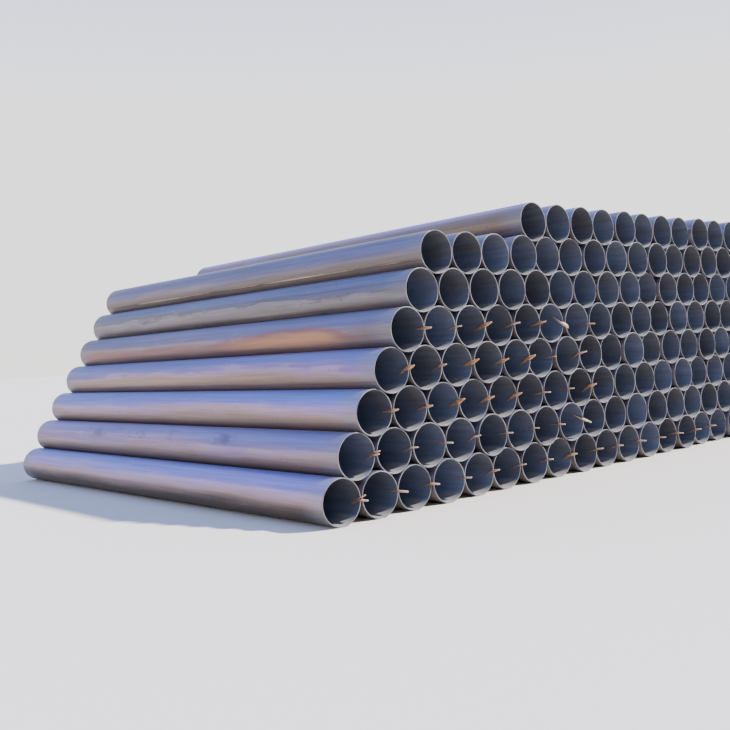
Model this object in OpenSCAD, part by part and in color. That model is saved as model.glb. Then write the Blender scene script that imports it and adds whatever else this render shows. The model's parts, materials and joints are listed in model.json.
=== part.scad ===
// Stack of welded steel pipes in eight nested rows, with wooden splints clipped over their rims.
// Pipes run along Y with their front ends toward -Y. Rows run along X. The stack stands on Z = 0.

/* [Pipe] */
// Outer diameter of a pipe
pipe_d = 377; // [250:1:500]
// Thickness of the pipe wall
pipe_wall = 8; // [4:0.5:14]
// Length of a pipe
pipe_len = 6000; // [3000:100:12000]

/* [Stack] */
// Number of pipes in the bottom row
bottom_count = 21; // [17:1:30]
// Open gap between neighbouring pipes of one row
row_gap = 6; // [3:0.5:12]
// Places left empty at the left of the top row
top_skip = 3; // [0:1:6]
// How far a pipe's end may stand ahead of the stack's front or behind it
end_scatter = 40; // [0:1:60]

/* [Splints] */
// Thickness of the leg inside the bore
inner_leg_t = 6; // [3:0.5:12]
// Length of the leg inside the bore, from the rim
inner_leg = 118; // [60:1:200]
// Length of the leg between two pipes, from the rim
outer_leg = 70; // [30:1:150]
// Height of a splint's thin end inside the bore
tip_h = 4; // [2:0.5:8]
// Height of the head's blunt end
head_h = 12; // [6:0.5:14]
// Width of the head's blunt end
head_w = 14; // [8:0.5:18]

/* [Fits] */
// Clearance between a pipe and the two pipes that carry it
rest_gap = 0.3; // [0.1:0.1:1]
// Clearance between a splint and the pipes beside it
splint_gap = 0.3; // [0.1:0.1:1]

/* [Hidden] */
$fn = 96;
STEEL = [0.44, 0.43, 0.50];
WOOD = [0.80, 0.60, 0.42];

TOP_ROW = 8;
SCATTER_SEED = 11;
SHOULDER = 1 / 3; // share of a splint's head that keeps its full width
pipe_r = pipe_d / 2;
bore_r = pipe_r - pipe_wall;
pitch = pipe_d + row_gap;
rise = sqrt(pow(pipe_d + rest_gap, 2) - pow(pitch / 2, 2));

// Splints of each row: [gap counted from the left, height above the pipes' axes, slope of the legs
// in degrees, slope of the head's top in degrees, head length, height at the rim]
SPLINTS = [
    [
        [1, 8, 20, 22, 60, 14], [1, -9, 20, 0, 92, 14], [2, 0, 2, 0, 120, 19], [3, 2, 16, 0, 100, 20],
        [4, -2, 10, 4, 84, 14], [5, 4, 26, 6, 76, 24], [6, 4, 20, 8, 72, 15], [7, 4, 18, 4, 74, 16],
        [8, 2, 26, 4, 78, 30], [9, 8, 16, 6, 82, 22], [10, 0, 24, 2, 76, 18], [11, 6, 12, 0, 90, 20],
        [12, -3, 18, 3, 80, 16], [13, 4, 8, -3, 86, 22], [14, 0, 20, 5, 76, 18], [15, 6, 14, 0, 82, 20]
    ],
    [
        [1, 11, 26, 10, 66, 15], [1, -9, 26, 6, 62, 19], [2, 0, 22, 4, 84, 17], [3, -2, 6, 0, 90, 15],
        [4, 6, 34, 8, 72, 22], [5, -4, 8, 2, 72, 16], [6, 0, 6, 0, 64, 14], [7, -4, 4, 0, 76, 14],
        [8, 8, -22, -20, 96, 20]
    ],
    [
        [1, -2, 6, 2, 78, 28], [2, -4, 14, 2, 72, 28], [3, 4, 24, 8, 80, 44], [4, 0, 24, 6, 78, 34],
        [5, 2, 30, 6, 72, 34], [6, -8, 12, 2, 92, 15], [7, 0, 6, 2, 76, 14], [8, 2, 32, 6, 74, 36]
    ],
    [
        [1, 6, 28, 6, 76, 38], [2, 4, 24, 4, 62, 26], [3, 8, 18, 8, 88, 44], [4, 0, 20, 6, 80, 34],
        [5, 6, 30, 10, 74, 40], [6, 0, 8, 0, 44, 14], [7, 10, 28, 8, 96, 24]
    ],
    [
        [1, 2, 3, -4, 86, 28], [2, 2, 14, 2, 72, 17], [3, 6, 22, 8, 82, 38], [4, 4, 18, 6, 92, 18],
        [5, 6, 16, 2, 74, 30], [6, 2, -34, -34, 66, 14], [6, -15, -34, -34, 62, 14], [7, -22, 12, -4, 80, 15]
    ]
];

function row_count(r) = bottom_count - (r - 1) - (r == TOP_ROW ? top_skip : 0);
function row_z(r) = pipe_r + (r - 1) * rise;
function pipe_x(r, i) = (i + (r - 1) / 2 + (r == TOP_ROW ? top_skip : 0) - (bottom_count + 1) / 2) * pitch;

// How far the left end of each row stands ahead of the stack's front plane, from the bottom row. This
// lead fades over the row's first pipes, and the others scatter at random. All are shares of end_scatter.
ROW_LEAD = [-0.4, -1, -0.5, 0, 0.3, 0.3, 0.4, 0];
LEAD_FADE = 4;
RANDOM_REACH = 0.5;
DRAWN = [for (r = [1:TOP_ROW]) rands(-RANDOM_REACH, RANDOM_REACH, row_count(r), SCATTER_SEED + r)];
function faded(i) = min((i - 1) / LEAD_FADE, 1);
function ahead(r, i) = end_scatter * (ROW_LEAD[r - 1] * (1 - faded(i)) + DRAWN[r - 1][i - 1] * faded(i));

// The stack's front plane, which puts the middle of its whole depth at Y = 0
front_reach = max([for (r = [1:len(SPLINTS)]) for (s = SPLINTS[r - 1]) ahead(r, s[0]) + s[4]]);
rear_reach = max([for (r = [1:TOP_ROW]) for (i = [1:row_count(r)]) -ahead(r, i)]);
front_y = (front_reach - rear_reach - pipe_len) / 2;
function end_y(r, i) = front_y - ahead(r, i);

module pipe() {
    rotate([-90, 0, 0])
        difference() {
            cylinder(h = pipe_len, d = pipe_d);
            translate([0, 0, -1]) cylinder(h = pipe_len + 2, r = bore_r);
        }
}

module pipe_row(r) {
    color(STEEL)
        for (i = [1:row_count(r)])
            translate([pipe_x(r, i), end_y(r, i), row_z(r)]) pipe();
}

// A splint seen from the left: its origin is on the rim's plane at the height of the pipe's axis
module splint_side(z, leg_slope, head_slope, head, h) {
    drop = inner_leg * tan(leg_slope);
    head_z = z + h / 2 + head * tan(head_slope);
    polygon([
        [-head, head_z - head_h],
        [-head, head_z],
        [0, z + h / 2],
        [inner_leg, z + tip_h / 2 - drop],
        [inner_leg, z - tip_h / 2 - drop],
        [0, z - h / 2]
    ]);
}

// A splint seen from above: the slit between its legs takes the rim, and x = 0 is the pipe's outside
module splint_plan(reach, head) {
    outer_x = row_gap - splint_gap;
    inner_x = sqrt(pow(bore_r, 2) - pow(reach, 2)) - splint_gap - pipe_r;
    mid_x = (inner_x + outer_x) / 2;
    polygon([
        [mid_x - head_w / 2, -head],
        [mid_x + head_w / 2, -head],
        [outer_x, -head * SHOULDER],
        [outer_x, outer_leg],
        [splint_gap, outer_leg],
        [splint_gap, -splint_gap],
        [inner_x, -splint_gap],
        [inner_x, inner_leg],
        [inner_x - inner_leg_t / 2, inner_leg],
        [inner_x - inner_leg_t, -head * SHOULDER]
    ]);
}

module splint(z, leg_slope, head_slope, head, h) {
    reach = max(abs(z), abs(z - inner_leg * tan(leg_slope))) + h / 2;
    intersection() {
        translate([0, 0, -pipe_r]) linear_extrude(pipe_d) splint_plan(reach, head);
        translate([-pipe_r, 0, 0]) rotate([90, 0, 90])
            linear_extrude(pipe_d) splint_side(z, leg_slope, head_slope, head, h);
    }
}

module splint_row(r) {
    color(WOOD)
        for (s = SPLINTS[r - 1])
            translate([pipe_x(r, s[0]) + pipe_r, end_y(r, s[0]), row_z(r)])
                splint(s[1], s[2], s[3], s[4], s[5]);
}

pipe_row(1);  // row_1
pipe_row(2);  // row_2
pipe_row(3);  // row_3
pipe_row(4);  // row_4
pipe_row(5);  // row_5
pipe_row(6);  // row_6
pipe_row(7);  // row_7
pipe_row(8);  // row_8
splint_row(1);  // splints_row_1
splint_row(2);  // splints_row_2
splint_row(3);  // splints_row_3
splint_row(4);  // splints_row_4
splint_row(5);  // splints_row_5
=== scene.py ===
"""Looks of a stack of welded steel pipes with wooden splints on its lower rims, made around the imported
frame. Metres, Z up. Pipes run along Y with their front ends toward -Y, and rows run along X."""

import json
import math
import random

import bmesh
import bpy
import numpy as np
from mathutils import Matrix, Vector, noise


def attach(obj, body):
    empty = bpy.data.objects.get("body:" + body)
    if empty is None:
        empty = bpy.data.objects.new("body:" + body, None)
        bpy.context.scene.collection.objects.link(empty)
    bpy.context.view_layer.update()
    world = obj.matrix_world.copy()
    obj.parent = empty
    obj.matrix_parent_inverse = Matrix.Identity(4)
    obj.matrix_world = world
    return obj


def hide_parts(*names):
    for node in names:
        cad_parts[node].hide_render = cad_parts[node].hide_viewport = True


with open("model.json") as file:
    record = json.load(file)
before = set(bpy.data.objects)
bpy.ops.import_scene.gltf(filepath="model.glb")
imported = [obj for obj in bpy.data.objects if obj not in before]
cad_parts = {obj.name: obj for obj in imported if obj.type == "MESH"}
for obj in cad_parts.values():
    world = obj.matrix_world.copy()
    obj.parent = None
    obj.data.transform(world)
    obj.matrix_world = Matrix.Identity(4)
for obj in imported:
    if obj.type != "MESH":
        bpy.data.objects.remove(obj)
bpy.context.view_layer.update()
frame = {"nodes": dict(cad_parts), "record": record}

# ---------------------------------------------------------------- sizes, from the frame
BORES = [mount for mount in frame["record"]["mounts"] if mount["kind"] == "bore"]
BORE_R = BORES[0]["dims"]["r_mm"] / 1000
PITCH = BORES[1]["pos_m"][0] - BORES[0]["pos_m"][0]
ROWS = sum(node.startswith("row_") for node in frame["nodes"])
SPLINT_ROWS = sum(node.startswith("splints_row_") for node in frame["nodes"])


def node_points(node):
    """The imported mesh's points."""
    mesh = frame["nodes"][node].data
    flat = np.empty(len(mesh.vertices) * 3, np.float32)
    mesh.vertices.foreach_get("co", flat)
    return flat.reshape(-1, 3).astype(float)


def fitted_circle(x, z):
    """Centre and radius of the circle that fits the points best."""
    terms = np.stack([x, z, np.ones(len(x))], 1)
    (twice_x, twice_z, rest), *_ = np.linalg.lstsq(terms, x**2 + z**2, rcond=None)
    centre_x, centre_z = twice_x / 2, twice_z / 2
    return centre_x, centre_z, math.sqrt(rest + centre_x**2 + centre_z**2)


def row_pipes(node):
    """Each pipe of a row from the left: its axis as x and z, its radius and its two ends along Y."""
    points = node_points(node)
    low, high = points.min(0), points.max(0)
    rough_r = (high[2] - low[2]) / 2
    first_x, rough_z = low[0] + rough_r, low[2] + rough_r
    wall_middle = (rough_r + BORE_R) / 2
    places = np.round((points[:, 0] - first_x) / PITCH).astype(int)
    pipes = []
    for place in range(places.max() + 1):
        own = points[places == place]
        from_axis = np.hypot(own[:, 0] - first_x - place * PITCH, own[:, 2] - rough_z)
        outer = own[from_axis > wall_middle]
        x, z, r = fitted_circle(outer[:, 0], outer[:, 2])
        pipes.append({"x": x, "z": z, "r": r, "front": own[:, 1].min(), "rear": own[:, 1].max()})
    return pipes


PIPES = {row: row_pipes(f"row_{row}") for row in range(1, ROWS + 1)}
ALL_PIPES = [pipe for pipes in PIPES.values() for pipe in pipes]
PIPE_R = ALL_PIPES[0]["r"]
PIPE_LENGTH = ALL_PIPES[0]["rear"] - ALL_PIPES[0]["front"]
FRONT_Y = sum(pipe["front"] for pipe in ALL_PIPES) / len(ALL_PIPES)

# ---------------------------------------------------------------- pipe meshes
SIDES = 80
EDGE_R = 0.0012  # rounding of a rim's edges
EDGE_STEPS = 3
SUPPORT = 0.006  # a ring this far in from each end keeps the walls' shading straight
SHARP_ANGLE = math.radians(40)
OUTSIDE, END, BORE = 0, 1, 2  # a pipe's material slots

BEAD_HALF = math.radians(2.4)  # half the weld bead's width, as an angle about the pipe's axis
BEAD_OUT = 0.0008
BEAD_IN = 0.0011
BEAD_COLUMNS = 5
BEAD_CLEAR = 1.15  # the even columns keep this many half widths away from the seam
SEAM_SIDES = (30, 90, 150, 210, 330)  # between the lines where pipes rest, and never facing the floor
TOP_SEAM_SIDES = (30, 150, 210, 330)  # a bead on top of the top row would stand above the stack
PIPE_SEED = 100  # each row adds its number

# A pipe's traits. Angles are degrees about its axis, from +X toward +Z.
#   seam    where its weld runs
#   blue    where the middle of its blue side is: mill scale with painted sky reflection
#   heat    strength of its heat tint
#   smudge  strength of its dark smudges
#   tone    brightness
#   ragged  how ragged the edge of its blue scale is
#   rose    0 for a grey pipe, 1 for a pink one
#   weld    strength of its weld line
#   under   brightness of its underside, painted light and shade
# The left pipe of each row, from the bottom:
LEFT_PIPES = [
    (318, 104, 0.00, 0.0, 1.24, 0.05, 0.90, 0.5, 0.50),
    (328, 106, 0.00, 1.0, 1.08, 0.40, 0.80, 0.5, 0.95),
    (332, 106, 0.00, 0.0, 1.14, 0.05, 0.95, 0.5, 1.20),
    (206, 101, 0.00, 0.0, 1.10, 0.90, 1.00, 0.0, 1.30),
    (330, 112, 1.00, 0.0, 0.93, 0.35, 0.30, 0.5, 1.50),
    (157, 111, 0.00, 0.0, 0.95, 0.80, 0.00, 0.1, 1.40),
    (200, 113, 0.00, 0.0, 0.92, 0.10, 0.10, 1.0, 1.50),
    (330, 64, 0.00, 0.0, 1.05, 0.10, 1.00, 0.5, 1.00),
]
# The other pipes draw theirs within these ranges. A high power makes a strong mark rare.
SEAM_WANDER = 14
BLUE_SIDES = (92, 118)
MOST_HEAT, HEAT_POWER = 0.6, 3
MOST_SMUDGE, SMUDGE_POWER = 0.6, 6
TONES = (0.8, 1.2)
UNDERSIDES = (0.85, 1.2)


def rounded_corner(r, y, toward_r, toward_y):
    """Profile points of a rounded corner at (r, y), turned from the wall toward the end face."""
    points = []
    for step in range(EDGE_STEPS + 1):
        turn = math.radians(90) * step / EDGE_STEPS
        corner_r = r + toward_r * EDGE_R * (1 - math.cos(turn))
        corner_y = y + toward_y * EDGE_R * (1 - math.sin(turn))
        points.append((corner_r, corner_y))
    return points


def pipe_profile(outer, length):
    """Closed half section of a pipe as (radius, y, side, slot), side 1 outside and -1 in the bore.
    The slot is that of the face that starts at the point."""
    front_out = rounded_corner(outer, 0, -1, 1)
    front_in = rounded_corner(BORE_R, 0, 1, 1)[::-1]
    rear_in = rounded_corner(BORE_R, length, 1, -1)
    rear_out = rounded_corner(outer, length, -1, -1)[::-1]
    profile = [(outer, SUPPORT, 1, OUTSIDE)]
    profile += [(r, y, 1, END) for r, y in front_out]
    profile += [(r, y, -1, END) for r, y in front_in[:-1]]
    profile += [(*front_in[-1], -1, BORE)]
    profile += [(BORE_R, SUPPORT, -1, BORE), (BORE_R, length - SUPPORT, -1, BORE)]
    profile += [(r, y, -1, END) for r, y in rear_in]
    profile += [(r, y, 1, END) for r, y in rear_out[:-1]]
    profile += [(*rear_out[-1], 1, OUTSIDE)]
    profile += [(outer, length - SUPPORT, 1, OUTSIDE)]
    return profile


def from_seam(angles, seam):
    """How far each angle is from the seam, whichever way is shorter."""
    return np.abs((angles - seam + np.pi) % (2 * np.pi) - np.pi)


def around_pipe(seam):
    """Angles of a pipe's columns and the share of the weld bead's height at each."""
    even = np.arange(SIDES) * 2 * np.pi / SIDES
    kept = even[from_seam(even, seam) > BEAD_HALF * BEAD_CLEAR]
    bead = seam + BEAD_HALF * np.linspace(-1, 1, BEAD_COLUMNS)
    angles = np.sort(np.concatenate([kept, bead]) % (2 * np.pi))
    return angles, np.clip(1 - (from_seam(angles, seam) / BEAD_HALF) ** 2, 0, None)


def pipe_part(pipe, seam):
    """Points, points from the pipe's own front end, faces and face slots of one pipe."""
    angles, bead = around_pipe(seam)
    profile = pipe_profile(pipe["r"], pipe["rear"] - pipe["front"])
    columns, rings = len(angles), len(profile)
    own = np.zeros((rings, columns, 3))
    for ring, (radius, y, side, _) in enumerate(profile):
        rise = bead * (BEAD_OUT if side > 0 else -BEAD_IN)
        own[ring, :, 0] = (radius + rise) * np.cos(angles)
        own[ring, :, 1] = y
        own[ring, :, 2] = (radius + rise) * np.sin(angles)
    own = own.reshape(-1, 3)
    ring, column = np.meshgrid(np.arange(rings), np.arange(columns), indexing="ij")
    next_ring, next_column = (ring + 1) % rings, (column + 1) % columns
    corners = [(ring, column), (next_ring, column), (next_ring, next_column), (ring, next_column)]
    faces = np.stack([r * columns + c for r, c in corners], -1).reshape(-1, 4)
    slots = np.repeat([slot for _, _, _, slot in profile], columns)
    return own + [pipe["x"], pipe["front"], pipe["z"]], own, faces, slots


def safe_seam(draw, row):
    """A seam angle in degrees, clear of the pipes around and inside the stack's box."""
    sides = TOP_SEAM_SIDES if row == ROWS else SEAM_SIDES
    return draw.choice(sides) + draw.uniform(-SEAM_WANDER, SEAM_WANDER)


def pipe_traits(draw, row, place):
    """A pipe's traits in the order of LEFT_PIPES, its two angles in radians."""
    drawn = (
        safe_seam(draw, row),
        draw.uniform(*BLUE_SIDES),
        MOST_HEAT * draw.random() ** HEAT_POWER,
        MOST_SMUDGE * draw.random() ** SMUDGE_POWER,
        draw.uniform(*TONES),
        draw.random(),
        draw.random(),
        draw.random(),
        draw.uniform(*UNDERSIDES),
    )
    seam, blue, *others = LEFT_PIPES[row - 1] if place == 0 else drawn
    return [math.radians(seam), math.radians(blue), *others]


def add_values(mesh, name, kind, values):
    """One value a point, kept on the mesh for its material."""
    field = "vector" if kind == "FLOAT_VECTOR" else "value"
    flat = np.ravel(values).astype(np.float32)
    mesh.attributes.new(name, kind, "POINT").data.foreach_set(field, flat)


def pipes_object(row, materials):
    """All pipes of a row as one piece."""
    draw = random.Random(PIPE_SEED + row)
    points, own, faces, slots, traits = [], [], [], [], []
    count = 0
    for place, pipe in enumerate(PIPES[row]):
        chosen = pipe_traits(draw, row, place)
        picks = [draw.random(), draw.random(), draw.random()]
        pipe_points, pipe_own, pipe_faces, pipe_slots = pipe_part(pipe, chosen[0])
        points.append(pipe_points)
        own.append(pipe_own)
        faces.append(pipe_faces + count)
        slots.append(pipe_slots)
        traits.append(np.tile([*chosen, *picks], (len(pipe_points), 1)))
        count += len(pipe_points)
    mesh = bpy.data.meshes.new(f"row_{row}_pipes")
    mesh.from_pydata(np.concatenate(points).tolist(), [], np.concatenate(faces).tolist())
    mesh.polygons.foreach_set("material_index", np.concatenate(slots).astype(np.int32))
    mesh.shade_smooth()
    mesh.set_sharp_from_angle(angle=SHARP_ANGLE)
    traits = np.concatenate(traits)
    add_values(mesh, "own", "FLOAT_VECTOR", np.concatenate(own))
    add_values(mesh, "sides", "FLOAT_VECTOR", traits[:, 0:3])
    add_values(mesh, "marks", "FLOAT_VECTOR", traits[:, 3:6])
    add_values(mesh, "hues", "FLOAT_VECTOR", traits[:, 6:9])
    add_values(mesh, "picks", "FLOAT_VECTOR", traits[:, 9:12])
    for material in materials:
        mesh.materials.append(material)
    made = bpy.data.objects.new(f"row_{row}_pipes", mesh)
    bpy.context.scene.collection.objects.link(made)
    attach(made, "root")
    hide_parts(f"row_{row}")


# ---------------------------------------------------------------- splint meshes
SPLINT_SEED = 200  # each row adds its number
VOXEL = 0.0022
INNER_LEG = 0.118  # a splint's longest leg ends this far behind the rim
THIN, STOUT = 0.014, 0.038  # heights at the rim of a pale thin splint and of an orange stout one
HEAD_FADE = 0.085  # the leg's painted shade starts this far ahead of the rim
CLIMBING_SHADE = 0.3  # a leg that climbs into the bore catches the light and stays pale
AT_RIM = 0.001  # points this near the rim's plane count as on it
SAME_POINT = 1e-6
FIBRE_DEPTH = 0.0014
FIBRE_CELLS = Vector((190, 14, 190))  # noise cells a metre, long along the grain


def loose_parts(mesh):
    """The mesh's separate solids, each as its points and its faces."""
    joined = bmesh.new()
    joined.from_mesh(mesh)
    bmesh.ops.remove_doubles(joined, verts=joined.verts, dist=SAME_POINT)
    joined.faces.index_update()
    seen = set()
    found = []
    for start in joined.faces:
        if start in seen:
            continue
        seen.add(start)
        part = [start]
        for face in part:
            for near in {other for edge in face.edges for other in edge.link_faces} - seen:
                seen.add(near)
                part.append(near)
        part.sort(key=lambda face: face.index)
        corners = [list(face.verts) for face in part]
        place = {}
        for vertex in (vertex for face in corners for vertex in face):
            place.setdefault(vertex, len(place))
        points = [vertex.co.copy() for vertex in place]
        found.append((points, [[place[vertex] for vertex in face] for face in corners]))
    joined.free()
    return found


def weathered(points, faces):
    """A splint's points and faces, remeshed finely, with split fibres sunk into its faces."""
    mesh = bpy.data.meshes.new("splint")
    mesh.from_pydata(points, [], faces)
    mesh.validate()
    solid = bpy.data.objects.new("splint", mesh)
    bpy.context.scene.collection.objects.link(solid)
    remesh = solid.modifiers.new("grain", "REMESH")
    remesh.mode = "VOXEL"
    remesh.voxel_size = VOXEL
    shaped = solid.evaluated_get(bpy.context.evaluated_depsgraph_get()).data
    moved = []
    for vertex in shaped.vertices:
        fibre = noise.noise(vertex.co * FIBRE_CELLS)
        moved.append(vertex.co - vertex.normal * FIBRE_DEPTH * (0.5 + 0.5 * fibre))
    polygons = [list(face.vertices) for face in shaped.polygons]
    bpy.data.objects.remove(solid)
    bpy.data.meshes.remove(mesh)
    return moved, polygons


def clamped(value):
    """The value, held between 0 and 1."""
    return min(max(value, 0.0), 1.0)


def stoutness(points, rim):
    """0 for a splint that is thin at the rim, 1 for a stout one."""
    heights = [point.z for point in points if abs(point.y - rim) < AT_RIM]
    return clamped((max(heights) - min(heights) - THIN) / (STOUT - THIN))


def leg_shade(points):
    """How much painted shade darkens the splint's leg: less where it climbs into the bore."""
    tip = max(points, key=lambda point: point.y)
    head = min(points, key=lambda point: point.y)
    return CLIMBING_SHADE if tip.z > head.z else 1.0


def splints_object(row, material):
    """The splints of a row as one piece."""
    node = f"splints_row_{row}"
    draw = random.Random(SPLINT_SEED + row)
    points, faces, picks, inside, stout = [], [], [], [], []
    for solid_points, solid_faces in loose_parts(frame["nodes"][node].data):
        moved, polygons = weathered(solid_points, solid_faces)
        rim = max(point.y for point in solid_points) - INNER_LEG
        dark = leg_shade(solid_points)
        faces += [[corner + len(points) for corner in face] for face in polygons]
        points += moved
        picks += [draw.random()] * len(moved)
        stout += [stoutness(solid_points, rim)] * len(moved)
        inside += [dark * clamped((point.y - rim + HEAD_FADE) / HEAD_FADE) for point in moved]
    mesh = bpy.data.meshes.new(f"row_{row}_splints")
    mesh.from_pydata(points, [], faces)
    mesh.shade_smooth()
    add_values(mesh, "pick", "FLOAT", picks)
    add_values(mesh, "inside", "FLOAT", inside)
    add_values(mesh, "stout", "FLOAT", stout)
    mesh.materials.append(material)
    made = bpy.data.objects.new(f"row_{row}_splints", mesh)
    bpy.context.scene.collection.objects.link(made)
    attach(made, "root")
    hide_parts(node)


# ---------------------------------------------------------------- material tools
NOISE_LOW, NOISE_HIGH = 0.3, 0.7  # nearly all of a noise's values lie between these
NOISE_SPREAD = 97.0  # keeps the noise of any two pipes apart
MIX_AMOUNT, MIX_FIRST, MIX_SECOND = 0, 6, 7  # a Mix node's inputs for colours
MIX_RESULT = 2


class Nodes:
    """A node tree, made a call at a time. Values may be numbers, colours or other nodes' outputs."""

    def __init__(self, tree):
        self.nodes, self.links = tree.nodes, tree.links

    def feed(self, socket, value):
        """Gives a socket its value. A colour of red, green and blue gets full alpha."""
        if isinstance(value, bpy.types.NodeSocket):
            self.links.new(value, socket)
        elif isinstance(value, tuple):
            socket.default_value = (*value, 1.0)
        else:
            socket.default_value = value

    def node(self, kind, inputs=None, **settings):
        """A new node with its settings and inputs by name."""
        made = self.nodes.new(kind)
        for name, value in settings.items():
            setattr(made, name, value)
        for name, value in (inputs or {}).items():
            self.feed(made.inputs[name], value)
        return made

    def math(self, operation, *values):
        made = self.node("ShaderNodeMath", operation=operation)
        for socket, value in zip(made.inputs, values):
            self.feed(socket, value)
        return made.outputs[0]

    def sum(self, first, second):
        return self.math("ADD", first, second)

    def line(self, value, slope, start):
        """start + slope * value"""
        return self.math("MULTIPLY_ADD", value, slope, start)

    def product(self, *values):
        """All the values multiplied."""
        total = values[0]
        for value in values[1:]:
            total = self.math("MULTIPLY", total, value)
        return total

    def attribute(self, name, output="Vector"):
        """A value that add_values kept on the mesh."""
        return self.node("ShaderNodeAttribute", attribute_name=name).outputs[output]

    def parts(self, vector):
        return self.node("ShaderNodeSeparateXYZ", {"Vector": vector}).outputs[:]

    def stretched(self, x, y, z, across, along, shift):
        """Noise coordinates with so many cells a metre across and along, moved by a shift."""
        inputs = {
            "X": self.line(x, across, shift),
            "Y": self.line(y, along, shift),
            "Z": self.math("MULTIPLY", z, across),
        }
        return self.node("ShaderNodeCombineXYZ", inputs).outputs[0]

    def noise(self, vector, detail=4.0, roughness=0.55, distortion=0.0):
        inputs = {
            "Vector": vector,
            "Scale": 1.0,
            "Detail": detail,
            "Roughness": roughness,
            "Distortion": distortion,
        }
        return self.node("ShaderNodeTexNoise", inputs).outputs["Fac"]

    def span(self, value, low, high, to_low=0.0, to_high=1.0):
        """Maps low..high smoothly to to_low..to_high, held at both ends."""
        inputs = {"Value": value, "From Min": low, "From Max": high, "To Min": to_low, "To Max": to_high}
        return self.node("ShaderNodeMapRange", inputs, interpolation_type="SMOOTHSTEP").outputs["Result"]

    def fade(self, value, start, end):
        """1 up to the start and 0 from the end."""
        return self.span(value, start, end, 1.0, 0.0)

    def swing(self, noise_value, low, high):
        """Maps a noise to low..high."""
        return self.span(noise_value, NOISE_LOW, NOISE_HIGH, low, high)

    def ramp(self, value, stops):
        """The colour at a value, from stops of a place and a colour."""
        made = self.node("ShaderNodeValToRGB", {"Fac": value})
        elements = made.color_ramp.elements
        while len(elements) < len(stops):
            elements.new(1.0)
        for element, (place, colour) in zip(elements, stops):
            element.position = place
            element.color = (*colour, 1.0)
        return made.outputs["Color"]

    def mix(self, amount, first, second, blend="MIX"):
        made = self.node("ShaderNodeMix", data_type="RGBA", blend_type=blend)
        self.feed(made.inputs[MIX_AMOUNT], amount)
        self.feed(made.inputs[MIX_FIRST], first)
        self.feed(made.inputs[MIX_SECOND], second)
        return made.outputs[MIX_RESULT]

    def paint(self, colour, over, cover, *where):
        """A colour with another one over it: cover at the most, times each share in where."""
        return self.mix(self.product(*where, cover), colour, over)

    def scaled(self, colour, factor):
        """The colour, brighter or darker by a factor."""
        inputs = {"Red": factor, "Green": factor, "Blue": factor}
        grey = self.node("ShaderNodeCombineColor", inputs).outputs[0]
        return self.mix(1.0, colour, grey, "MULTIPLY")

    def bump(self, height, strength, distance):
        inputs = {"Height": height, "Strength": strength, "Distance": distance}
        return self.node("ShaderNodeBump", inputs).outputs["Normal"]


class Shader(Nodes):
    """One material's nodes."""

    def __init__(self, name):
        self.material = bpy.data.materials.new(name)
        self.material.use_nodes = True
        super().__init__(self.material.node_tree)
        self.surface = self.nodes["Principled BSDF"]

    def finished(self, colour, roughness, normal):
        """Feeds the surface's varying inputs and gives the material."""
        self.feed(self.surface.inputs["Base Color"], colour)
        self.feed(self.surface.inputs["Roughness"], roughness)
        self.feed(self.surface.inputs["Normal"], normal)
        return self.material


class PipeShader(Shader):
    """A shader that knows where it is on a pipe, and the pipe's traits."""

    def __init__(self, name):
        super().__init__(name)
        self.x, self.along, self.z = self.parts(self.attribute("own"))
        self.seam, self.blue, self.heat = self.parts(self.attribute("sides"))
        self.smudge, self.tone, self.ragged = self.parts(self.attribute("marks"))
        self.rose, self.weld, self.under = self.parts(self.attribute("hues"))
        self.first, self.second, self.third = self.parts(self.attribute("picks"))
        self.shift = self.math("MULTIPLY", self.first, NOISE_SPREAD)
        self.from_end = self.math("MINIMUM", self.along, self.math("SUBTRACT", PIPE_LENGTH, self.along))

    def field(self, across, along, detail=4.0, roughness=0.55, distortion=0.0):
        """Noise with so many cells a metre across the pipe and along it."""
        place = self.stretched(self.x, self.along, self.z, across, along, self.shift)
        return self.noise(place, detail, roughness, distortion)

    def facing(self, angle, radius):
        """1 where the wall faces the angle, -1 on the other side."""
        east = self.math("MULTIPLY", self.x, self.math("COSINE", angle))
        both = self.line(self.z, self.math("SINE", angle), east)
        return self.math("DIVIDE", both, radius)

    def beside_blue(self, degrees):
        """1 where the wall faces so many degrees past the middle of the blue side."""
        return self.facing(self.sum(self.blue, math.radians(degrees)), PIPE_R)


# ---------------------------------------------------------------- outside of a pipe
# Colours from the underside to the blue side, of a grey pipe and of a pink one: mill scale with painted
# reflections, brown of the ground below and blue of the sky above
GREY_SCALE_AND_REFLECTION = [
    (0.20, (0.165, 0.137, 0.110)),
    (0.38, (0.200, 0.165, 0.132)),
    (0.50, (0.152, 0.123, 0.112)),
    (0.64, (0.185, 0.162, 0.178)),
    (0.74, (0.135, 0.130, 0.235)),
    (0.83, (0.138, 0.130, 0.215)),
    (0.92, (0.125, 0.118, 0.160)),
]
PINK_SCALE_AND_REFLECTION = [
    (0.12, (0.140, 0.104, 0.082)),
    (0.30, (0.175, 0.126, 0.090)),
    (0.44, (0.192, 0.136, 0.096)),
    (0.54, (0.232, 0.160, 0.132)),
    (0.62, (0.290, 0.200, 0.250)),
    (0.69, (0.276, 0.194, 0.375)),
    (0.77, (0.178, 0.156, 0.470)),
    (0.88, (0.120, 0.176, 0.470)),
]
TINT_MIDDLE, TINT_REACH = 0.5, 0.36
UNDERSIDE = (0.38, 0.56)  # where the underside's painted light and shade fades out, on the scale above
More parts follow.
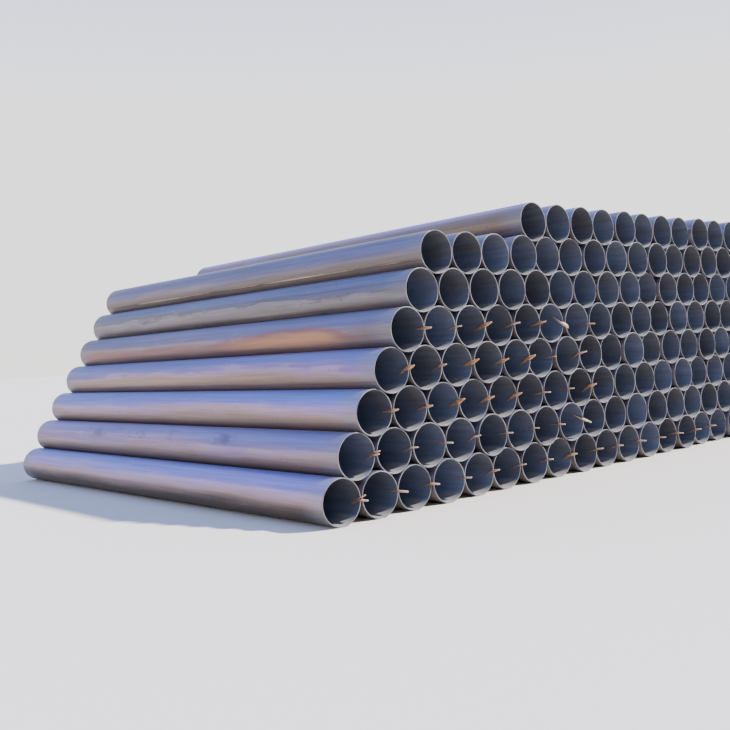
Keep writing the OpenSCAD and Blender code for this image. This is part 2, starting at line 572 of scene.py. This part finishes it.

# The ragged edge of the blue scale, on the same scale: its pale fringe, which is a painted highlight,
# dark rim and full blue
HIGHLIGHT_FRINGE, HIGHLIGHT_FRINGE_COVER = (0.54, 0.685), 0.60
GREY_HIGHLIGHT_FRINGE, PINK_HIGHLIGHT_FRINGE = (0.240, 0.230, 0.245), (0.290, 0.205, 0.350)
RIM_START, PINK_RIM_SHIFT, RIM_FULL, RIM_COVER = 0.662, -0.015, 0.698, 0.90
GREY_RIM, PINK_RIM = (0.085, 0.064, 0.085), (0.190, 0.125, 0.310)
BLUE_START, BLUE_FULL, PINK_BLUE_SHIFT, BLUE_COVER = 0.700, 0.730, 0.030, 0.85
GREY_BLUE, PINK_BLUE = (0.118, 0.138, 0.275), (0.108, 0.140, 0.345)

# Where marks lie round a pipe, in degrees past the middle of its blue side
HEAT_SIDE, HEAT_LOWER_SIDE = 89, 150
SMUDGE_SIDE = 38
SCUFF_SIDE = 52
SCUFF_FIRST, SCUFF_RANGE = 0.7, 4.6  # metres from the front end, and how much farther it may lie
SMUDGES_START, SMUDGES_END = (1.4, 1.7), (4.4, 4.8)  # metres from the front end

# The heat tint's lens, from its red edge to its straw middle, on the scale that heat_tint makes
HEAT_EDGE, HEAT_FULL = (1.22, 1.36), (1.36, 1.52)
HEAT_RED = (0.225, 0.090, 0.080)
HEAT_STRAW = [
    (0.35, (0.270, 0.126, 0.062)),
    (0.52, (0.400, 0.205, 0.105)),
    (0.68, (0.270, 0.150, 0.092)),
]
HEAT_SHADE = (0.110, 0.075, 0.085)

SMUDGE = (0.050, 0.030, 0.075)
SPECK = (0.030, 0.022, 0.030)
SCUFF = (0.420, 0.400, 0.460)
RUB = (0.360, 0.330, 0.370)
PALE_BAND = (0.190, 0.190, 0.225)
WELD_BAND = (0.135, 0.098, 0.074)
WELD_DOTS = (0.048, 0.034, 0.030)
WELD_BEAD = (0.430, 0.340, 0.235)
# Where they start and are full, as cosines of the angle from the seam
WELD_BAND_REACH = (0.90, 0.995)
WELD_DOTS_REACH = (0.9990, 1.0006)
WELD_BEAD_REACH = (0.99970, 0.99990)


def scale_and_reflection_tint(s, bands):
    """Low on a pipe's underside and high on its blue side, wandering along the pipe."""
    drift = s.field(across=2.6, along=0.45, detail=5.0, roughness=0.6, distortion=0.4)
    wander = s.sum(s.span(drift, 0.25, 0.75, -0.07, 0.07), s.swing(bands, -0.045, 0.045))
    return s.sum(s.line(s.facing(s.blue, PIPE_R), TINT_REACH, TINT_MIDDLE), wander)


def ragged_edge(s, tint, colour):
    """The blue scale's lower edge on a ragged pipe: a pale fringe of painted highlight, then a dark rim,
    then full blue.
    """
    waves = s.field(across=3.0, along=1.5, detail=1.0)
    frayed = s.field(across=9.0, along=9.0, detail=3.0)
    ripple = s.sum(s.swing(waves, -0.045, 0.045), s.swing(frayed, -0.008, 0.008))
    edge = s.line(ripple, s.product(s.ragged, s.line(s.rose, 0.5, 0.5)), tint)
    highlight_fringe_colour = s.mix(s.rose, GREY_HIGHLIGHT_FRINGE, PINK_HIGHLIGHT_FRINGE)
    colour = s.paint(colour, highlight_fringe_colour, HIGHLIGHT_FRINGE_COVER, s.span(edge, *HIGHLIGHT_FRINGE), s.ragged)
    rim = s.span(edge, s.line(s.rose, PINK_RIM_SHIFT, RIM_START), RIM_FULL)
    colour = s.paint(colour, s.mix(s.rose, GREY_RIM, PINK_RIM), RIM_COVER, rim, s.ragged)
    above = s.span(edge, BLUE_START, s.line(s.rose, PINK_BLUE_SHIFT, BLUE_FULL))
    return s.paint(colour, s.mix(s.rose, GREY_BLUE, PINK_BLUE), BLUE_COVER, above, s.ragged)


def mill_scale_and_reflection(s, bands):
    """Mill scale with painted reflections: brown below from the ground, grey or pink between and blue
    above from the sky, with painted light and shade on the underside and a ragged edge on some pipes'
    blue scale.
    """
    tint = scale_and_reflection_tint(s, bands)
    colour = s.mix(s.rose, s.ramp(tint, GREY_SCALE_AND_REFLECTION), s.ramp(tint, PINK_SCALE_AND_REFLECTION))
    # painted light and shade: the underside brighter or darker by the pipe's under trait
    brighter = s.line(s.fade(tint, *UNDERSIDE), s.math("SUBTRACT", s.under, 1.0), 1.0)
    return ragged_edge(s, tint, s.scaled(colour, brighter))


def heat_tint(s, bands, colour):
    """A long straw to orange lens low on the front half, red at its edge, with a dark shade before it."""
    side = s.beside_blue(HEAT_SIDE)
    uneven = s.field(across=2.2, along=0.8, detail=4.0, roughness=0.5)
    middle = s.product(s.span(s.along, 0.0, 1.1), s.span(s.along, 1.4, 3.0, 1.0, 0.5))
    lens = s.line(middle, 0.42, s.line(uneven, 0.36, side))
    lower = s.span(s.beside_blue(HEAT_LOWER_SIDE), 0.20, 0.80, 1.0, 0.20)
    colour = s.paint(colour, HEAT_RED, 0.75, s.span(lens, *HEAT_EDGE), s.heat, lower)
    colour = s.paint(colour, s.ramp(bands, HEAT_STRAW), 0.86, s.span(lens, *HEAT_FULL), s.heat, lower)
    before = s.product(s.fade(s.along, 0.25, 0.9), s.span(side, 0.55, 0.95))
    return s.paint(colour, HEAT_SHADE, 0.65, before, s.heat)


def smudges(s, colour):
    """Soft dark smudges in a line along the middle of the pipe."""
    lane = s.span(s.beside_blue(SMUDGE_SIDE), 0.900, 0.998)
    blots = s.span(s.field(across=6.0, along=2.6, detail=3.0, roughness=0.6), 0.46, 0.72)
    middle = s.product(s.span(s.along, *SMUDGES_START), s.fade(s.along, *SMUDGES_END))
    return s.paint(colour, SMUDGE, 0.75, lane, blots, middle, s.smudge)


def specks(s, colour):
    """Small dark specks all over."""
    spots = s.span(s.field(across=60.0, along=34.0, detail=1.0), 0.745, 0.775)
    return s.paint(colour, SPECK, 0.8, spots)


def scuff(s, colour):
    """One short and faint pale scuff, anywhere but at the ends."""
    from_scuff = s.math("ABSOLUTE", s.sum(s.along, s.line(s.third, -SCUFF_RANGE, -SCUFF_FIRST)))
    place = s.product(s.fade(from_scuff, 0.06, 0.14), s.span(s.beside_blue(SCUFF_SIDE), 0.93, 0.97))
    streaks = s.span(s.field(across=60.0, along=9.0, detail=4.0, roughness=0.7), 0.46, 0.70)
    return s.paint(colour, SCUFF, 0.25, place, streaks)


def rubs(s, colour):
    """Pale rubs, longer along the pipe than across it."""
    worn = s.span(s.field(across=16.0, along=3.0, detail=5.0, roughness=0.7), 0.60, 0.78)
    return s.paint(colour, RUB, 0.30, worn)


def pale_bands(s, colour):
    """A paler band at each end and faint rings between."""
    band = s.span(s.from_end, 0.05, 0.36, 0.50, 0.0)
    rings = s.span(s.field(across=1.2, along=30.0, detail=2.0), 0.60, 0.72)
    return s.mix(s.line(rings, 0.16, band), colour, PALE_BAND)


def weld_line(s, colour):
    """A straw bead with dark dotted edges and a brown band along it, faint where weld is low."""
    near = s.facing(s.seam, PIPE_R)
    colour = s.paint(colour, WELD_BAND, 0.55, s.span(near, *WELD_BAND_REACH), s.weld, s.weld)
    dotted = s.line(s.field(across=90.0, along=22.0, detail=2.0), 0.0036, near)
    strength = s.line(s.weld, 0.8, 0.2)
    colour = s.paint(colour, WELD_DOTS, 0.95, s.span(dotted, *WELD_DOTS_REACH), strength)
    patchy = s.field(across=3.0, along=0.9, detail=4.0, roughness=0.6)
    bead = s.product(s.span(near, *WELD_BEAD_REACH), s.span(patchy, 0.38, 0.62, 0.12, 0.85))
    return s.paint(colour, WELD_BEAD, s.weld, bead)


def outside_material():
    """Mill scale with painted sky and ground reflections, heat tint, marks and a weld line, finely
    streaked along the pipe.
    """
    s = PipeShader("mill_steel_outside")
    bands = s.field(across=12.0, along=0.25, detail=3.0)
    fine = s.field(across=85.0, along=1.6, detail=4.0, roughness=0.65)
    colour = heat_tint(s, bands, mill_scale_and_reflection(s, bands))
    for mark in (smudges, specks, scuff, rubs, pale_bands, weld_line):
        colour = mark(s, colour)
    streaks = s.product(s.span(fine, 0.25, 0.75, 0.84, 1.16), s.swing(bands, 1.10, 0.90), s.tone)
    s.surface.inputs["Metallic"].default_value = 0.62
    roughness = s.line(fine, 0.12, s.swing(bands, 0.36, 0.46))
    return s.finished(s.scaled(colour, streaks), roughness, s.bump(fine, strength=0.25, distance=0.0006))


# ---------------------------------------------------------------- end and bore of a pipe
SAWN_STEEL = [
    (0.35, (0.094, 0.096, 0.108)),
    (0.50, (0.145, 0.148, 0.162)),
    (0.65, (0.210, 0.212, 0.224)),
]
# Colours of the bore, from its grey mouth and crown to the blue deeper in: scale with painted reflection
# of the sky, bluest low and deep
BORE_SCALE_AND_SKY = [
    (0.05, (0.083, 0.082, 0.090)),
    (0.35, (0.096, 0.109, 0.154)),
    (0.60, (0.120, 0.146, 0.218)),
    (0.90, (0.142, 0.180, 0.285)),
]
# Painted sunlight: a pale patch low in both mouths, where the sun patch falls in the front ones
PAINTED_SUNLIGHT = (0.262, 0.250, 0.250)
PAINTED_SUNLIGHT_SIDE = 286  # degrees: low in the bore and a little to the right
PAINTED_SUNLIGHT_WIDTH = (0.80, 0.92)  # cosines of the angle from there
PAINTED_SUNLIGHT_DEPTH = (0.14, 0.34)  # metres from the end
BORE_SEAM = (0.190, 0.180, 0.180)
BORE_SEAM_REACH = (0.9985, 0.9995)  # cosines of the angle from the seam


def end_material():
    """Sawn end: bare steel in duller and brighter patches, with fine saw lines."""
    s = PipeShader("mill_steel_end")
    lines = s.field(across=160.0, along=4.0, detail=2.0)
    patches = s.field(across=9.0, along=4.0, detail=3.0)
    s.surface.inputs["Metallic"].default_value = 0.55
    bump = s.bump(lines, strength=0.2, distance=0.0004)
    return s.finished(s.ramp(patches, SAWN_STEEL), s.swing(lines, 0.38, 0.55), bump)


def bore_tint(s):
    """How blue the bore is: little near its ends and at its crown, and different in each pipe. The blue
    is partly scale and partly painted reflection of the sky.
    """
    drift = s.field(across=3.0, along=0.9, detail=4.0, distortion=0.3)
    by_depth = s.span(s.from_end, 0.02, 0.45, 0.17, 0.50)
    by_height = s.line(s.math("DIVIDE", s.z, BORE_R), -0.25, by_depth)
    return s.sum(by_height, s.line(s.second, 0.20, s.swing(drift, -0.18, 0.20)))


def bore_material():
    """Inside wall: grey to blue scale with painted sky reflection and lengthwise marks, and painted
    sunlight as a pale patch low in both mouths.
    """
    s = PipeShader("mill_steel_bore")
    lines = s.field(across=30.0, along=0.4, detail=4.0, roughness=0.6)
    streaks = s.span(lines, 0.3, 0.75, 1.09, 0.89)
    each_pipe = s.span(s.third, 0.0, 1.0, 0.86, 1.14)
    colour = s.scaled(s.ramp(bore_tint(s), BORE_SCALE_AND_SKY), s.product(streaks, each_pipe))
    # painted sunlight low in each mouth
    low = s.span(s.facing(math.radians(PAINTED_SUNLIGHT_SIDE), BORE_R), *PAINTED_SUNLIGHT_WIDTH)
    colour = s.paint(colour, PAINTED_SUNLIGHT, 0.85, low, s.fade(s.from_end, *PAINTED_SUNLIGHT_DEPTH))
    seam = s.span(s.facing(s.seam, BORE_R), *BORE_SEAM_REACH)
    colour = s.paint(colour, BORE_SEAM, 0.5, seam)
    s.surface.inputs["Specular IOR Level"].default_value = 0.0
    return s.finished(colour, s.swing(lines, 0.62, 0.76), s.bump(lines, strength=0.15, distance=0.0006))


# ---------------------------------------------------------------- wood and floor
PALE_WOOD = [
    (0.36, (0.42, 0.240, 0.165)),
    (0.47, (0.72, 0.520, 0.410)),
    (0.62, (0.90, 0.780, 0.660)),
]
ORANGE_WOOD = [
    (0.36, (0.26, 0.100, 0.040)),
    (0.47, (0.58, 0.270, 0.115)),
    (0.57, (0.76, 0.430, 0.210)),
    (0.70, (0.88, 0.680, 0.460)),
]
# Colours of the legs, darkened as painted shade where they lie in the bore
SHADED_LEG_WOOD = [
    (0.36, (0.11, 0.055, 0.031)),
    (0.50, (0.27, 0.135, 0.072)),
    (0.66, (0.39, 0.230, 0.132)),
]
END_GRAIN, END_GRAIN_COVER = (0.20, 0.105, 0.055), 0.7
FACING_FRONT = (-0.6, -0.9)  # where end grain starts and is full, as a normal's share along Y
WOOD_SPREAD = 31.0  # keeps the grain of any two splints apart
FLOOR = (0.66, 0.62, 0.58)


def wood_material():
    """Raw split wood: pale or orange heads with dark end grain, legs darkened by painted shade, and long
    fibres.
    """
    s = Shader("splint_wood")
    x, y, z = s.parts(s.node("ShaderNodeTexCoord").outputs["Object"])
    shift = s.math("MULTIPLY", s.attribute("pick", "Fac"), WOOD_SPREAD)
    fibres = s.noise(s.stretched(x, y, z, across=260.0, along=12.0, shift=shift), detail=4.0)
    blush = s.noise(s.stretched(x, y, z, across=34.0, along=16.0, shift=shift), detail=2.0)
    grain = s.line(fibres, 0.55, s.math("MULTIPLY", blush, 0.45))
    head = s.mix(s.attribute("stout", "Fac"), s.ramp(grain, PALE_WOOD), s.ramp(grain, ORANGE_WOOD))
    colour = s.mix(s.attribute("inside", "Fac"), head, s.ramp(grain, SHADED_LEG_WOOD))
    _, normal_y, _ = s.parts(s.node("ShaderNodeNewGeometry").outputs["Normal"])
    colour = s.mix(s.span(normal_y, *FACING_FRONT, 0.0, END_GRAIN_COVER), colour, END_GRAIN)
    return s.finished(colour, s.swing(fibres, 0.62, 0.82), s.bump(fibres, strength=0.5, distance=0.0008))


def floor_material():
    """Plain pale floor."""
    s = Shader("floor")
    s.surface.inputs["Base Color"].default_value = (*FLOOR, 1)
    s.surface.inputs["Roughness"].default_value = 0.85
    return s.material


# ---------------------------------------------------------------- stage, lights and camera
FLOOR_HALF = 150.0
SUN_TRAVEL = Vector((-0.522, 0.584, -0.622))  # the way its light goes: from the front right, down
SUN_ENERGY = 13.0
SUN_WIDTH = math.radians(2.0)
SUN_COLOUR = (1.0, 0.95, 0.88)
SKY = [  # from the horizon up
    (0.00, (1.00, 0.96, 0.94)),
    (0.26, (0.96, 0.96, 1.00)),
    (0.50, (0.48, 0.60, 1.00)),
    (0.80, (0.30, 0.47, 1.00)),
]
SKY_FRONT, SKY_BEHIND = 0.6, 2.0  # the sky's strength in front of the stack and behind it
SKY_TURN = (-0.7, 0.1)  # where it changes, as a direction's share along Y

CAMERA_X = -8.154
CAMERA_AHEAD = 5.543  # from the pipes' front ends
CAMERA_HEIGHT = 1.344
CAMERA_YAW, CAMERA_TILT, CAMERA_ROLL = 44.005, 0.966, -3.516  # degrees
CAMERA_SENSOR, CAMERA_LENS = 36.0, 45.105  # millimetres
CAMERA_SHIFT = (-0.0890, -0.0479)
CAMERA_FAR = 500.0


def add_floor(material):
    """A wide plane that stands in for the ground."""
    corners = [(-1, -1), (1, -1), (1, 1), (-1, 1)]
    mesh = bpy.data.meshes.new("floor")
    mesh.from_pydata([(x * FLOOR_HALF, y * FLOOR_HALF, 0) for x, y in corners], [], [(0, 1, 2, 3)])
    mesh.materials.append(material)
    floor = bpy.data.objects.new("floor", mesh)
    bpy.context.scene.collection.objects.link(floor)


def add_sun():
    """Key light from the front right."""
    light = bpy.data.lights.new("key", "SUN")
    light.energy = SUN_ENERGY
    light.angle = SUN_WIDTH
    light.color = SUN_COLOUR
    lamp = bpy.data.objects.new("key", light)
    lamp.rotation_mode = "QUATERNION"
    lamp.rotation_quaternion = SUN_TRAVEL.to_track_quat("-Z", "Y")
    bpy.context.scene.collection.objects.link(lamp)


def set_world():
    """Pale sky near the horizon and blue overhead, dimmer in front of the stack."""
    world = bpy.data.worlds.new("fill")
    world.use_nodes = True
    bpy.context.scene.world = world
    sky = Nodes(world.node_tree)
    background = sky.nodes["Background"]
    _, along, height = sky.parts(sky.node("ShaderNodeTexCoord").outputs["Generated"])
    sky.feed(background.inputs["Color"], sky.ramp(height, SKY))
    sky.feed(background.inputs["Strength"], sky.span(along, *SKY_TURN, SKY_FRONT, SKY_BEHIND))


def add_camera():
    """A camera at chest height, left of the front ends, looking along the left side."""
    yaw, tilt, roll = (math.radians(angle) for angle in (CAMERA_YAW, CAMERA_TILT, CAMERA_ROLL))
    ahead = Vector((math.sin(yaw) * math.cos(tilt), math.cos(yaw) * math.cos(tilt), math.sin(tilt)))
    level = Vector((math.cos(yaw), -math.sin(yaw), 0))
    upright = level.cross(ahead)
    right = level * math.cos(roll) + upright * math.sin(roll)
    up = upright * math.cos(roll) - level * math.sin(roll)
    data = bpy.data.cameras.new("camera")
    data.sensor_width = CAMERA_SENSOR
    data.lens = CAMERA_LENS
    data.shift_x, data.shift_y = CAMERA_SHIFT
    data.clip_end = CAMERA_FAR
    camera = bpy.data.objects.new("camera", data)
    turn = Matrix((right, up, -ahead)).transposed().to_4x4()
    place = Matrix.Translation((CAMERA_X, FRONT_Y - CAMERA_AHEAD, CAMERA_HEIGHT))
    camera.matrix_world = place @ turn
    bpy.context.scene.collection.objects.link(camera)
    bpy.context.scene.camera = camera


# ---------------------------------------------------------------- build
steel = [outside_material(), end_material(), bore_material()]
wood = wood_material()
for row in range(1, ROWS + 1):
    pipes_object(row, steel)
for row in range(1, SPLINT_ROWS + 1):
    splints_object(row, wood)
add_floor(floor_material())
add_sun()
set_world()
add_camera()
